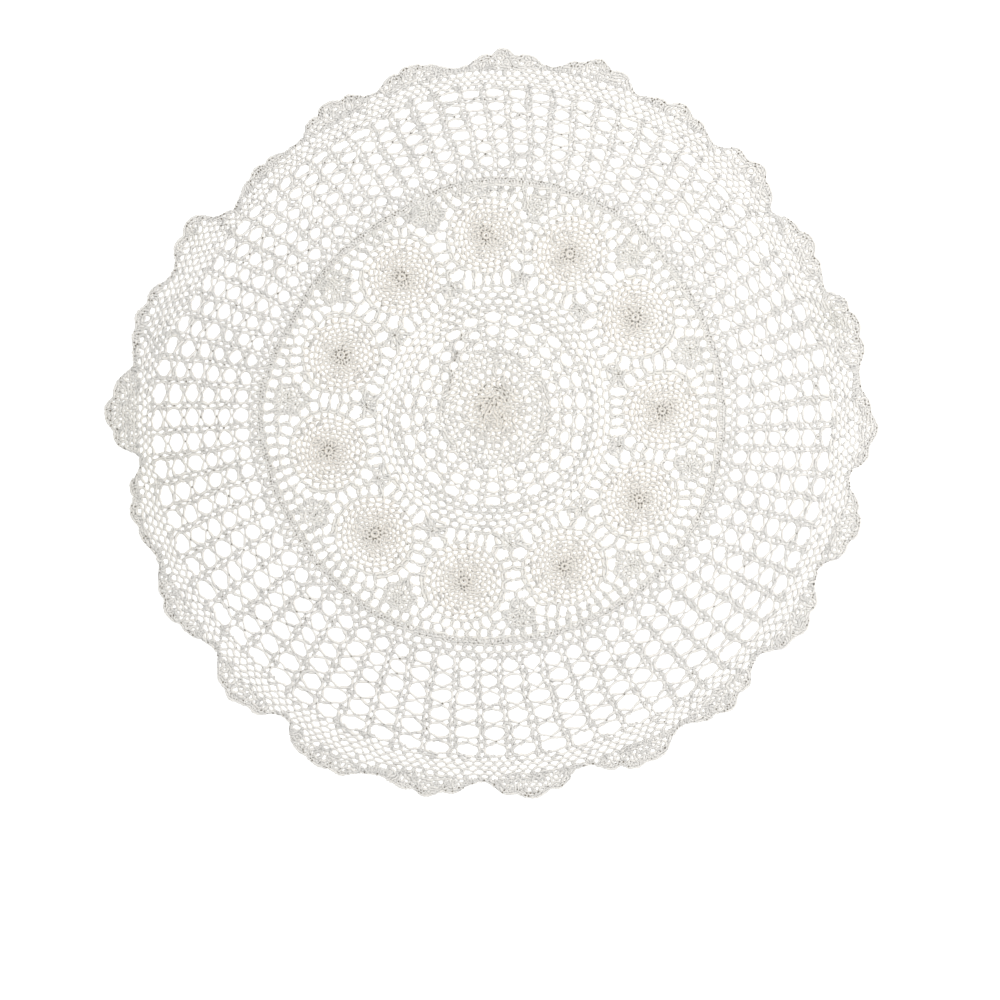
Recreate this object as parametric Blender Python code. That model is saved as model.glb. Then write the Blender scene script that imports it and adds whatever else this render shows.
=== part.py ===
"""A round crocheted lace doily, laid out flat.

It is built as it is worked: a centre medallion, eleven wheels around it, a joining mesh of chain
bars that holds the wheels, and a border with one firm ring, an open net and a scalloped edging.
Metres, +Z up. The origin is on the underside, in the middle of the firm ring. Distances in the
tables are in millimetres from the origin, and angles are in degrees anticlockwise from +X.
"""

import math
from collections import namedtuple

import bmesh
import bpy
from mathutils import Vector
from mathutils.geometry import delaunay_2d_cdt

MM = 0.001
FULL_TURN = 360.0

# Where each wheel's middle lies, as unevenly as hand work sits
Wheel = namedtuple("Wheel", "angle distance")
WHEELS = (
    Wheel(0.2, 169),
    Wheel(33.6, 171),
    Wheel(64.2, 176),
    Wheel(92.1, 177),
    Wheel(124.1, 163),
    Wheel(159.5, 162),
    Wheel(193.3, 169),
    Wheel(225.9, 170),
    Wheel(260.2, 172),
    Wheel(294.8, 170),
    Wheel(329.4, 170),
)

# The border's rounds: the middle of the firm ring, and the net's first and last row of holes
Round = namedtuple("Round", "angle ring first_row last_row")
ROUNDS = (
    Round(0, 230, 251, 333),
    Round(30, 230, 248, 317),
    Round(60, 234, 251, 320),
    Round(90, 233, 251, 319),
    Round(120, 220, 238, 306),
    Round(150, 220, 238, 311),
    Round(180, 233, 251, 335),
    Round(210, 230, 250, 337),
    Round(240, 233, 256, 340),
    Round(270, 230, 253, 338),
    Round(300, 230, 252, 337),
    Round(330, 232, 252, 336),
)

# The edging: each scallop's middle, how far its three lobes reach, and the notch after it
Scallop = namedtuple("Scallop", "angle crest before after notch")
SCALLOPS = (
    Scallop(13.4, 378, 377, 370, 353),
    Scallop(28.0, 364, 361, 358, 342),
    Scallop(42.7, 364, 359, 361, 348),
    Scallop(58.0, 362, 357, 357, 350),
    Scallop(72.7, 368, 363, 361, 350),
    Scallop(88.0, 363, 359, 357, 346),
    Scallop(103.2, 357, 354, 351, 339),
    Scallop(118.2, 351, 348, 345, 332),
    Scallop(134.2, 341, 338, 337, 330),
    Scallop(148.6, 361, 340, 359, 351),
    Scallop(164.7, 369, 364, 368, 364),
    Scallop(180.0, 389, 381, 379, 356),
    Scallop(195.9, 376, 370, 374, 366),
    Scallop(212.0, 384, 379, 378, 364),
    Scallop(228.0, 389, 384, 383, 370),
    Scallop(243.6, 396, 391, 394, 381),
    Scallop(260.0, 391, 387, 385, 370),
    Scallop(276.2, 388, 383, 382, 366),
    Scallop(292.4, 384, 378, 383, 365),
    Scallop(309.0, 382, 377, 376, 361),
    Scallop(325.5, 382, 377, 377, 362),
    Scallop(342.0, 385, 379, 377, 363),
    Scallop(357.3, 386, 379, 379, 368),
)

# Pieces that were worked apart lie this far from each other
WORKING_GAP = 0.35 * MM

# Thickness of the lace: open mesh, edges that carry more stitches, and the dense hubs
MESH_THICKNESS = 1.5 * MM
RIM_THICKNESS = 1.9 * MM
HUB_THICKNESS = 2.4 * MM

# The medallion's rosette sits a little above the origin
ROSETTE_MIDDLE = Vector((1.5, 4.0)) * MM
MEDALLION_CORNERS = 66
ROSETTE_SHARE = 0.25
MEDALLION_COLUMNS = 26
# Each round of large gaps: its share of the way to the rim, and the gap's size out and around
MedallionRound = namedtuple("MedallionRound", "share out around")
MEDALLION_ROUNDS = (
    MedallionRound(0.525, 8.0, 9.0),
    MedallionRound(0.64, 9.5, 12.0),
    MedallionRound(0.755, 9.5, 14.5),
)

WHEEL_RADIUS = 37.0 * MM
WHEEL_CORNERS = 24
WHEEL_HUB_RADIUS = 20.0 * MM
WHEEL_HUB_CORNERS = 12
WHEEL_EYE_RADIUS = 5.0 * MM
WHEEL_EYE_CORNERS = 6

# The long gaps between the medallion and each wheel
PETAL_LENGTH = 14.0
PETAL_WIDTH = 6.5
PETAL_STEP = 10.0
PETALS = (-1, 0, 1)

# The gaps of the joining mesh half way between two wheels: distance from the origin, distance to
# each side of the middle line, and the gap's size out and around. No side means one gap on the line.
BayGap = namedtuple("BayGap", "distance side out around")
BAY_GAPS = (
    BayGap(141, 9.5, 12.5, 11.0),
    BayGap(162, 0, 7.0, 13.0),
    BayGap(172.7, 0, 7.5, 13.5),
    BayGap(183.3, 0, 7.5, 14.0),
    BayGap(194, 0, 8.0, 14.5),
)
# The narrowest strip of mesh between such a gap and a wheel, and the smallest gap that is cut
BAY_WALL = 1.8 * MM
LEAST_GAP = 4.0 * MM

RING_WIDTH = 8.0
RING_CORNERS = 80

# The net is cut at twice the pitch of the real one, which has 81 columns and 6 rows
NET_COLUMNS = 40
NET_ROWS = 3
REAL_NET_ROWS = 6
# A hole's size out and around, as shares of the step from hole to hole
HOLE_SHARE_OUT = 0.76
HOLE_SHARE_AROUND = 0.82
# The columns stand closer at the far side, +Y, than at the near side
COLUMN_CROWDING = 4.6

# A scallop is three lobes side by side: the column that says how far each one reaches, and its
# place in lobes from the scallop's middle
Lobe = namedtuple("Lobe", "reach place")
LOBES = (
    Lobe("before", -1),
    Lobe("crest", 0),
    Lobe("after", 1),
)
LOBE_STEP = 3.25
LOBE_DEPTH = 3.0
# Points along a lobe from its first corner, as shares of its width from its middle, and how far
# its edge has dropped there, as a share of its depth
LobePoint = namedtuple("LobePoint", "across drop")
LOBE_POINTS = (
    LobePoint(-0.5, 1.0),
    LobePoint(-0.34, 0.38),
    LobePoint(0.0, 0.0),
    LobePoint(0.34, 0.38),
)
RIM_WIDTH = 9.0
RIM_CORNERS = 92

# The edge stands up in one small pleat, at a notch on the far left
PLEAT_ANGLE = 143.5
PLEAT_DISTANCE = 322
PLEAT_HEIGHT = 5.0 * MM
PLEAT_REACH_OUT = 20.0 * MM
PLEAT_REACH_AROUND = 11.0 * MM

Colour = namedtuple("Colour", "red green blue")
WARM_WHITE = Colour(0.80, 0.765, 0.70)
WHITE = Colour(0.82, 0.80, 0.76)
COTTON_ROUGHNESS = 0.85
SHARP_ANGLE = math.radians(35)

Loop = namedtuple("Loop", "points thickness")
# The triangulation covers the plane around the outline too, and joins points this close
WHOLE_PLANE = 0
MERGE_DISTANCE = 1e-7


def clear_scene():
    for obj in list(bpy.data.objects):
        bpy.data.objects.remove(obj)


def polar(angle, distance):
    """A point of the cloth, from degrees and millimetres."""
    turn = math.radians(angle)
    return Vector((math.cos(turn), math.sin(turn))) * distance * MM


def around(rows, angle, column):
    """The column's value at this angle, eased from the row before it to the row after it."""
    angle %= FULL_TURN
    after = next((i for i, row in enumerate(rows) if row.angle > angle), 0)
    start, end = rows[after - 1], rows[after]
    share = ((angle - start.angle) % FULL_TURN) / ((end.angle - start.angle) % FULL_TURN)
    eased = share * share * (3 - 2 * share)
    return getattr(start, column) * (1 - eased) + getattr(end, column) * eased


def angles(count):
    return [FULL_TURN * i / count for i in range(count)]


def medallion_rim(angle):
    """The medallion reaches as far as the petals between it and the wheels let it."""
    return around(WHEELS, angle, "distance") - WHEEL_RADIUS / MM - PETAL_LENGTH


def ring_middle(angle):
    return around(ROUNDS, angle, "ring")


def oval(middle, outward, out, across, corners=6):
    """The corners of a gap or disc, anticlockwise, out and across being its two sizes."""
    side = Vector((-outward.y, outward.x))
    turns = [2 * math.pi * i / corners for i in range(corners)]
    return [
        middle + outward * (math.cos(turn) * out / 2) + side * (math.sin(turn) * across / 2)
        for turn in turns
    ]


def net_gap(middle, outward, out, across):
    """A hexagon with its points to both sides, as the net's holes have."""
    side = Vector((-outward.y, outward.x))
    return oval(middle, side, across, out)


def round_line(distance_at, corners):
    return [polar(angle, distance_at(angle)) for angle in angles(corners)]


def medallion_gaps():
    gaps = []
    for row in MEDALLION_ROUNDS:
        for angle in angles(MEDALLION_COLUMNS):
            rim = polar(angle, medallion_rim(angle))
            middle = ROSETTE_MIDDLE.lerp(rim, row.share)
            outward = (rim - ROSETTE_MIDDLE).normalized()
            gaps.append(net_gap(middle, outward, row.out * MM, row.around * MM))
    return gaps


def petal_gaps(wheel):
    """Long gaps side by side, each lying along the line from the medallion to the wheel."""
    outward = polar(wheel.angle, 1 / MM)
    side = Vector((-outward.y, outward.x))
    middle = polar(wheel.angle, wheel.distance) - outward * (WHEEL_RADIUS + PETAL_LENGTH * MM / 2)
    gaps = []
    for step in PETALS:
        # The wheel's edge curves away from a petal at its side, so that petal lies further out.
        aside = step * PETAL_STEP * MM
        falling_back = WHEEL_RADIUS - math.sqrt(WHEEL_RADIUS**2 - aside**2)
        place = middle + side * aside + outward * falling_back / 2
        gaps.append(oval(place, outward, PETAL_LENGTH * 0.78 * MM, PETAL_WIDTH * MM))
    return gaps


def bay_gaps(wheel, neighbour):
    """The gaps half way between a wheel and the next one."""
    between = (neighbour.angle - wheel.angle) % FULL_TURN / 2
    outward = polar(wheel.angle + between, 1 / MM)
    side = Vector((-outward.y, outward.x))
    # The gaps were laid out for evenly spread wheels, and shrink where two wheels crowd.
    common = sum(row.distance for row in WHEELS) / len(WHEELS)
    shift = ((wheel.distance + neighbour.distance) / 2 - common) * MM
    spread = min(1.0, between / (FULL_TURN / len(WHEELS) / 2))
    gaps = []
    for gap in BAY_GAPS:
        for sign in (-1, 1) if gap.side else (0,):
            place = outward * (gap.distance * MM + shift) + side * (sign * gap.side * MM * spread)
            clear = min(
                (place - polar(row.angle, row.distance)).length for row in (wheel, neighbour)
            )
            width = min(gap.around * MM, 2 * (clear - WHEEL_RADIUS - BAY_WALL))
            out = width * gap.out / gap.around if gap.side else gap.out * MM
            if width > LEAST_GAP:
                gaps.append(net_gap(place, outward, out, width))
    return gaps


def net_gaps():
    gaps = []
    for angle in angles(NET_COLUMNS):
        angle += COLUMN_CROWDING * math.cos(math.radians(angle))
        first, last = around(ROUNDS, angle, "first_row"), around(ROUNDS, angle, "last_row")
        row_step = (last - first) / (REAL_NET_ROWS - 1) * REAL_NET_ROWS / NET_ROWS
        for row in range(NET_ROWS):
            # Half way between the two real rows that this one stands for
            distance = first + row_step * (row + 0.25)
            column_step = 2 * math.pi * distance / NET_COLUMNS
            gaps.append(
                net_gap(
                    polar(angle, distance),
                    polar(angle, 1 / MM),
                    row_step * HOLE_SHARE_OUT * MM,
                    column_step * HOLE_SHARE_AROUND * MM,
                )
            )
    return gaps


def scallop_points(scallop, following):
    """The edge over one scallop's three lobes and down into the notch after it."""
    points = []
    for lobe in LOBES:
        reach = getattr(scallop, lobe.reach)
        for point in LOBE_POINTS:
            angle = scallop.angle + (lobe.place + point.across) * LOBE_STEP
            points.append(polar(angle, reach - point.drop * LOBE_DEPTH))
    last_corner = scallop.angle + len(LOBES) / 2 * LOBE_STEP
    points.append(polar(last_corner, scallop.after - LOBE_DEPTH))
    notch_angle = scallop.angle + (following.angle - scallop.angle) % FULL_TURN / 2
    points.append(polar(notch_angle, scallop.notch))
    return points


def edging_line():
    line = []
    for i, scallop in enumerate(SCALLOPS):
        line += scallop_points(scallop, SCALLOPS[(i + 1) % len(SCALLOPS)])
    return line


def foot_of_edging(angle):
    """The round on which the edging is worked, well inside the notches."""
    notch = around(SCALLOPS, angle, "notch")
    return min(notch - RIM_WIDTH / 2, around(ROUNDS, angle, "last_row") + RIM_WIDTH + 2)


def lift(point):
    """How far the cloth stands off the surface: nothing but at the pleat."""
    pleat = polar(PLEAT_ANGLE, PLEAT_DISTANCE)
    outward = pleat.normalized()
    offset = point - pleat
    out = offset.dot(outward) / PLEAT_REACH_OUT
    aside = offset.dot(Vector((-outward.y, outward.x))) / PLEAT_REACH_AROUND
    near = max(0.0, 1 - out * out - aside * aside)
    return PLEAT_HEIGHT * near * near


def cotton(name, colour):
    material = bpy.data.materials.new(name)
    material.use_nodes = True
    shader = material.node_tree.nodes["Principled BSDF"]
    shader.inputs["Base Color"].default_value = (*colour, 1.0)
    shader.inputs["Roughness"].default_value = COTTON_ROUGHNESS
    shader.inputs["Metallic"].default_value = 0.0
    return material


def lace_mesh(name, outline, gaps, ridges):
    """A closed solid: a flat sheet with this outline, cut through at the gaps.

    Each loop says how thick the sheet is along it, and a ridge is a loop that only says that.
    """
    points, thickness, loops = [], [], []
    for loop in (outline, *gaps, *ridges):
        loops.append(list(range(len(points), len(points) + len(loop.points))))
        points += loop.points
        thickness += [loop.thickness] * len(loop.points)
    cut = 1 + len(gaps)
    edges = [edge for loop in loops[cut:] for edge in zip(loop, loop[1:] + loop[:1])]
    spots, _, triangles, sources, _, inside = delaunay_2d_cdt(
        points, edges, loops[:cut], WHOLE_PLANE, MERGE_DISTANCE
    )
    kept = [corners for corners, loops_around in zip(triangles, inside) if loops_around == [0]]
    mesh = bmesh.new()
    under, over = [], []
    for spot, source in zip(spots, sources):
        if not source:
            raise ValueError(f"{name}: two loops cross at {spot / MM}")
        height = lift(spot)
        under.append(mesh.verts.new((*spot, height)))
        over.append(mesh.verts.new((*spot, height + thickness[source[0]])))
    ways = {(a, b) for t in kept for a, b in zip(t, (*t[1:], t[0]))}
    for corners in kept:
        mesh.faces.new([over[i] for i in corners])
        mesh.faces.new([under[i] for i in reversed(corners)])
    for a, b in ways:
        if (b, a) not in ways:
            mesh.faces.new((under[a], under[b], over[b], over[a]))
    loose = [vert for vert in mesh.verts if not vert.link_faces]
    bmesh.ops.delete(mesh, geom=loose, context="VERTS")
    data = bpy.data.meshes.new(name)
    mesh.to_mesh(data)
    mesh.free()
    data.shade_smooth()
    data.set_sharp_from_angle(angle=SHARP_ANGLE)
    return data


def place(name, data, material, location=(0, 0, 0), turn=0.0):
    if not data.materials:
        data.materials.append(material)
    obj = bpy.data.objects.new(name, data)
    obj.location = location
    obj.rotation_euler.z = turn
    bpy.context.scene.collection.objects.link(obj)
    return obj


def as_gaps(shapes):
    return [Loop(shape, MESH_THICKNESS) for shape in shapes]


def make_medallion():
    outline = Loop(round_line(medallion_rim, MEDALLION_CORNERS), RIM_THICKNESS)
    rosette = [
        ROSETTE_MIDDLE.lerp(polar(angle, medallion_rim(angle)), ROSETTE_SHARE)
        for angle in angles(MEDALLION_COLUMNS)
    ]
    ridges = [Loop(rosette, HUB_THICKNESS)]
    data = lace_mesh("centre_medallion", outline, as_gaps(medallion_gaps()), ridges)
    place("centre_medallion", data, cotton("rosette_cotton", WARM_WHITE))


def disc(radius, corners):
    return oval(Vector((0, 0)), Vector((1, 0)), 2 * radius, 2 * radius, corners)


def make_wheels():
    """Eleven wheels share one mesh, which lies around its own middle."""
    outline = Loop(disc(WHEEL_RADIUS, WHEEL_CORNERS), MESH_THICKNESS)
    ridges = [
        Loop(disc(WHEEL_HUB_RADIUS, WHEEL_HUB_CORNERS), RIM_THICKNESS),
        Loop(disc(WHEEL_EYE_RADIUS, WHEEL_EYE_CORNERS), HUB_THICKNESS),
    ]
    data = lace_mesh("wheel", outline, [], ridges)
    material = cotton("wheel_cotton", WARM_WHITE)
    for i, wheel in enumerate(WHEELS, start=1):
        middle = polar(wheel.angle, wheel.distance)
        place(f"wheel_{i:02d}", data, material, (*middle, 0), math.radians(wheel.angle))


def wheel_seat(wheel):
    """The round hole in the joining mesh that a wheel lies in."""
    radius = WHEEL_RADIUS + WORKING_GAP
    outward = polar(wheel.angle, 1 / MM)
    return oval(polar(wheel.angle, wheel.distance), outward, 2 * radius, 2 * radius, WHEEL_CORNERS)


def make_joining_mesh():
    half_gap = WORKING_GAP / MM / 2
    inner_edge = round_line(
        lambda angle: ring_middle(angle) - RING_WIDTH / 2 - half_gap, RING_CORNERS
    )
    shapes = [round_line(lambda angle: medallion_rim(angle) + 2 * half_gap, MEDALLION_CORNERS)]
    for i, wheel in enumerate(WHEELS):
        shapes.append(wheel_seat(wheel))
        shapes += petal_gaps(wheel)
        shapes += bay_gaps(wheel, WHEELS[(i + 1) % len(WHEELS)])
    outline = Loop(inner_edge, MESH_THICKNESS)
    data = lace_mesh("joining_mesh", outline, as_gaps(shapes), [])
    place("joining_mesh", data, cotton("mesh_cotton", WHITE))


def make_border():
    half_gap = WORKING_GAP / MM / 2
    inner_edge = round_line(
        lambda angle: ring_middle(angle) - RING_WIDTH / 2 + half_gap, RING_CORNERS
    )
    outer_edge = round_line(lambda angle: ring_middle(angle) + RING_WIDTH / 2, RING_CORNERS)
    gaps = [Loop(inner_edge, HUB_THICKNESS), *as_gaps(net_gaps())]
    ridges = [
        Loop(outer_edge, HUB_THICKNESS),
        Loop(round_line(foot_of_edging, RIM_CORNERS), MESH_THICKNESS),
    ]
    data = lace_mesh("border", Loop(edging_line(), RIM_THICKNESS), gaps, ridges)
    place("border", data, cotton("border_cotton", WHITE))


clear_scene()
make_medallion()
make_wheels()
make_joining_mesh()
make_border()
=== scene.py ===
"""A large round crocheted lace doily, laid out flat and seen from straight above.

Each piece of lace is told by its holes. A table or a rule places the holes of each round, thread
runs wherever two holes lie side by side, and one Geometry Nodes tree turns these runs into cotton
thread. Lines are worked out in millimetres from the middle of the firm ring, and angles in
degrees anticlockwise from +X.
"""

import math
from collections import namedtuple

import bpy
import numpy as np
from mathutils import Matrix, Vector
from mathutils.geometry import delaunay_2d_cdt


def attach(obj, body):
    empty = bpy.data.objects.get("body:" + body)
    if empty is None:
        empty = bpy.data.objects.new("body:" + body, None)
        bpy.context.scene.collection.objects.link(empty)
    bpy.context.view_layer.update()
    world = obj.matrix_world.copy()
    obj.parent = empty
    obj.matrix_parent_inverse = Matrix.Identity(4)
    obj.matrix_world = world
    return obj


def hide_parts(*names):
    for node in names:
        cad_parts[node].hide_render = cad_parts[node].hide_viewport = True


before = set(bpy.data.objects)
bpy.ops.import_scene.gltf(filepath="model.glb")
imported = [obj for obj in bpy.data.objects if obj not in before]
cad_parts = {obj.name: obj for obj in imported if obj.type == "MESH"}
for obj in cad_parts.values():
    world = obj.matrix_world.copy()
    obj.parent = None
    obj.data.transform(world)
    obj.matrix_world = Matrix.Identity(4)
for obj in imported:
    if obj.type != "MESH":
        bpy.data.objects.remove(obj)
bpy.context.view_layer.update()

MM = 0.001
FULL_TURN = 360.0
HALF_TURN = 180.0
rng = np.random.default_rng(81)

# ---- the doily's own sizes

# Where each wheel's middle lies, as unevenly as hand work sits
Wheel = namedtuple("Wheel", "angle distance")
WHEELS = (
    Wheel(0.2, 169),
    Wheel(33.6, 171),
    Wheel(64.2, 176),
    Wheel(92.1, 177),
    Wheel(124.1, 163),
    Wheel(159.5, 162),
    Wheel(193.3, 169),
    Wheel(225.9, 170),
    Wheel(260.2, 172),
    Wheel(294.8, 170),
    Wheel(329.4, 170),
)

# The border's rounds: the middle of the firm ring, and the net's first and last row of holes
Round = namedtuple("Round", "angle ring first_row last_row shift swirl")
ROUNDS = (
    Round(0, 230, 251, 333, 0.4, 1.9),
    Round(30, 230, 248, 317, 0.4, 1.9),
    Round(60, 234, 251, 320, 0.4, 2.0),
    Round(90, 233, 251, 319, 0.5, 2.2),
    Round(120, 220, 238, 306, 2.3, 2.2),
    Round(150, 220, 238, 311, 1.7, 0.5),
    Round(180, 233, 251, 335, 0.8, 0.6),
    Round(210, 230, 250, 337, -0.9, 1.0),
    Round(240, 233, 256, 340, -0.4, 1.3),
    Round(270, 230, 253, 338, 0.3, 1.5),
    Round(300, 230, 252, 337, 1.0, 1.7),
    Round(330, 232, 252, 336, 1.6, 1.9),
)

# The edging: each scallop's middle, how far its three lobes reach, and the notch after it
Scallop = namedtuple("Scallop", "angle crest before after notch")
SCALLOPS = (
    Scallop(13.4, 378, 377, 370, 353),
    Scallop(28.0, 364, 361, 358, 342),
    Scallop(42.7, 364, 359, 361, 348),
    Scallop(58.0, 362, 357, 357, 350),
    Scallop(72.7, 368, 363, 361, 350),
    Scallop(88.0, 363, 359, 357, 346),
    Scallop(103.2, 357, 354, 351, 339),
    Scallop(118.2, 351, 348, 345, 332),
    Scallop(134.2, 341, 338, 337, 330),
    Scallop(148.6, 361, 340, 359, 351),
    Scallop(164.7, 369, 364, 368, 364),
    Scallop(180.0, 389, 381, 379, 356),
    Scallop(195.9, 376, 370, 374, 366),
    Scallop(212.0, 384, 379, 378, 364),
    Scallop(228.0, 389, 384, 383, 370),
    Scallop(243.6, 396, 391, 394, 381),
    Scallop(260.0, 391, 387, 385, 370),
    Scallop(276.2, 388, 383, 382, 366),
    Scallop(292.4, 384, 378, 383, 365),
    Scallop(309.0, 382, 377, 376, 361),
    Scallop(325.5, 382, 377, 377, 362),
    Scallop(342.0, 385, 379, 377, 363),
    Scallop(357.3, 386, 379, 379, 368),
)

ROSETTE_MIDDLE = np.array([1.5, 4.0])
MEDALLION_RADIUS = 118.0
PETAL_LENGTH = 14.0
WHEEL_RADIUS = 37.0

RING_HALF = 4.0
NET_COLUMNS = 81
NET_ROWS = 6
# The columns stand closer at the far side, +Y, than at the near side
COLUMN_CROWDING = 4.6

# The three lobes of a scallop: degrees between them, how deep the dips go, and how square they are
LOBES = (("before", -1), ("crest", 0), ("after", 1))
LOBE_STEP = 3.25
LOBE_DEPTH = 3.0
LOBE_SQUARENESS = 2.2
SCALLOP_HALF = LOBE_STEP * 1.5
# The firm rim's width, and the degrees past the lobes where it starts and takes to narrow
RIM_ON_LOBES = 6.4
RIM_IN_NOTCH = 3.4
RIM_KEEPS = 0.9
RIM_NARROWS = 1.6

# ---- the thread

# Half the width of the thread between two holes, from a single chain to a full stitch, and of the
# knot where runs of thread meet
THINNEST = 1.28
THICKEST = 1.7
KNOT = 1.8
# Stitches are pressed flat: their height is this share of their width. Their middle lies a little
# more than half that height above the table.
FLATNESS = 0.5
LIFT = 1.25
# Pinholes are dark dots that lie on the top of the thread, and slits are long ones. Both are
# painted shade, standing for the shade in the gaps between stitches.
PINHOLE_HEIGHT = 1.5
PINHOLE_STRETCH = (1.0, 1.6)
SLIT_HEIGHT = 1.8
# Near a slit, a hole under the first radius closes to the second
SLIT_CLOSES = 2.0
CLOSED_RADIUS = 0.4
# A pinhole is drawn where its middle is this far from every hole of more than this radius
PINHOLE_OVERHANG = 0.3
OPEN_RADIUS = 0.95
# Holes nearer than this shrink, to no less than the radius below it. Where they lie as far apart
# as the next, the thread is doubled, and its halves leave a little light between them.
LEAST_GAP = 2.1
LEAST_RADIUS = 0.15
DOUBLE_GAP = 3.6
BETWEEN_HALVES = 0.1
SHORT_RUN = 3.0
THREAD_SIDES = 4
# A thread that ends at another grows thinner and stops short, both as shares of its own half width
END_TAPER = 0.85
END_SHORT = 0.55
# How far the hand strays with every single hole: less in firm work, more where it is fine or free
JITTER = 0.3
FIRM_JITTER = 0.35
FINE_JITTER = 0.45
FREE_JITTER = 0.6
EVEN_JITTER = 0.08
# How much holes of a round differ in size, and how much they may
SIZE_JITTER = 0.05
SIZE_LIMITS = (0.8, 1.2)
# A long hole has a smaller circle at each end, if it is longer than wide by more than this
TIP = 0.72
LEAST_REACH = 0.3


def column_of(rows, name):
    """One column of a table."""
    return np.array([getattr(row, name) for row in rows], float)


def around(rows, angle, column):
    """The column's value at each angle, eased from one row of the table to the next."""
    starts = column_of(rows, "angle")
    values = column_of(rows, column)
    angle = np.asarray(angle, float) % FULL_TURN
    after = np.searchsorted(starts, angle, side="right") % len(rows)
    before = after - 1
    share = ((angle - starts[before]) % FULL_TURN) / ((starts[after] - starts[before]) % FULL_TURN)
    eased = share * share * (3 - 2 * share)
    return values[before] * (1 - eased) + values[after] * eased


def polar(angle, distance):
    """Points in millimetres from degrees and millimetres."""
    turn = np.radians(angle)
    return np.stack([np.cos(turn) * distance, np.sin(turn) * distance], axis=-1)


def far(ways):
    """The length of each way."""
    return np.linalg.norm(ways, axis=-1)


# ---- where the rounds lie


def medallion_rim(angle):
    return around(WHEELS, angle, "distance") - WHEEL_RADIUS - PETAL_LENGTH


def in_medallion(distance, angle):
    """A point of the medallion, its distance given as if the rim were a true circle."""
    share = np.asarray(distance / MEDALLION_RADIUS)[..., None]
    return ROSETTE_MIDDLE * (1 - share) + polar(angle, medallion_rim(angle)) * share


def around_a_middle(middle):
    """Gives the function that places a round worked about this middle."""
    return lambda distance, angle: middle + polar(angle, distance)


def column_angle(column, row=0.0):
    """The angle of a column of the net, which turns a little on from its first row to its last."""
    angle = np.asarray(column, float) * FULL_TURN / NET_COLUMNS
    crowded = angle + COLUMN_CROWDING * np.cos(np.radians(angle))
    turned = around(ROUNDS, crowded, "swirl") * row / (NET_ROWS - 1)
    return crowded + around(ROUNDS, crowded, "shift") + turned


def row_step(angle):
    """How far apart the rows of the net are."""
    last = around(ROUNDS, angle, "last_row")
    return (last - around(ROUNDS, angle, "first_row")) / (NET_ROWS - 1)


def net_distance(row, angle):
    """How far out a row of the net is. Row 0 is the first round of large holes."""
    return around(ROUNDS, angle, "first_row") + row * row_step(angle)


def in_net(row, column):
    angle = column_angle(column, row)
    return polar(angle, net_distance(row, angle))


def on_scallop(angle):
    """The scallop nearest to each angle, and the degrees from its middle."""
    angle = np.asarray(angle, float) % FULL_TURN
    middles = column_of(SCALLOPS, "angle")
    offset = (angle[..., None] - middles + HALF_TURN) % FULL_TURN - HALF_TURN
    near = np.abs(offset).argmin(axis=-1)
    return near, np.take_along_axis(offset, near[..., None], axis=-1)[..., 0]


def outer_edge(angle):
    """How far the scalloped edge reaches: three lobes to a scallop, and a smooth notch between."""
    near, off = on_scallop(angle)
    middles = column_of(SCALLOPS, "angle")
    notches = column_of(SCALLOPS, "notch")
    neighbour = (near + np.where(off > 0, 1, -1)) % len(SCALLOPS)
    notch = np.where(off > 0, notches[near], notches[neighbour])
    apart = np.abs((middles[neighbour] - middles[near] + HALF_TURN) % FULL_TURN - HALF_TURN)
    share = np.clip((np.abs(off) - SCALLOP_HALF) / (apart / 2 - SCALLOP_HALF), 0, 1)
    before, after = column_of(SCALLOPS, "before"), column_of(SCALLOPS, "after")
    start = np.where(off > 0, after[near], before[near]) - LOBE_DEPTH
    slope = start + (notch - start) * np.sin(share * math.pi / 2)
    edge = np.where(np.abs(off) < SCALLOP_HALF, 0, slope)
    for name, place in LOBES:
        dip = np.abs(2 * (off / LOBE_STEP - place)) ** LOBE_SQUARENESS
        edge = np.maximum(edge, column_of(SCALLOPS, name)[near] - LOBE_DEPTH * dip)
    return edge


def rim_depth(angle):
    """How wide the firm rim of the edging is: full on the lobes, narrow in the notches."""
    _, off = on_scallop(angle)
    on_lobes = np.clip((SCALLOP_HALF + RIM_KEEPS - np.abs(off)) / RIM_NARROWS, 0, 1)
    return RIM_IN_NOTCH + (RIM_ON_LOBES - RIM_IN_NOTCH) * on_lobes


def in_rim(share, column):
    """Share 0 is the inner side of the firm rim, and 1 the outer edge of the lace."""
    angle = column_angle(column)
    return polar(angle, outer_edge(angle) - rim_depth(angle) * (1 - share))


def in_ring(offset, column):
    """Distance in millimetres to either side of the middle of the firm ring."""
    angle = column_angle(column)
    return polar(angle, around(ROUNDS, angle, "ring") + offset)


# ---- unevenness and relief

# Length of each drift of the hand, and how far it moves the thread to a side
Drift = namedtuple("Drift", "length reach")
DRIFTS = (Drift(90, 0.9), Drift(34, 0.8), Drift(13, 0.35), Drift(6.5, 0.18))
DRIFT_WAVES = 7
DRIFT_SPREAD = (0.75, 1.35)
CALM_RADIUS = 236.0
CALM_BLEND = 30.0
CALM_SHARE = 0.5


def drift_waves():
    waves = []
    for drift in DRIFTS:
        for _ in range(DRIFT_WAVES):
            heading = rng.uniform(0, 2 * math.pi)
            length = drift.length * rng.uniform(*DRIFT_SPREAD)
            wave = np.array([math.cos(heading), math.sin(heading)]) * 2 * math.pi / length
            push = rng.normal(0, drift.reach / math.sqrt(DRIFT_WAVES), 2)
            waves.append((wave, rng.uniform(0, 2 * math.pi), push))
    return waves


WAVES = drift_waves()


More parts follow.
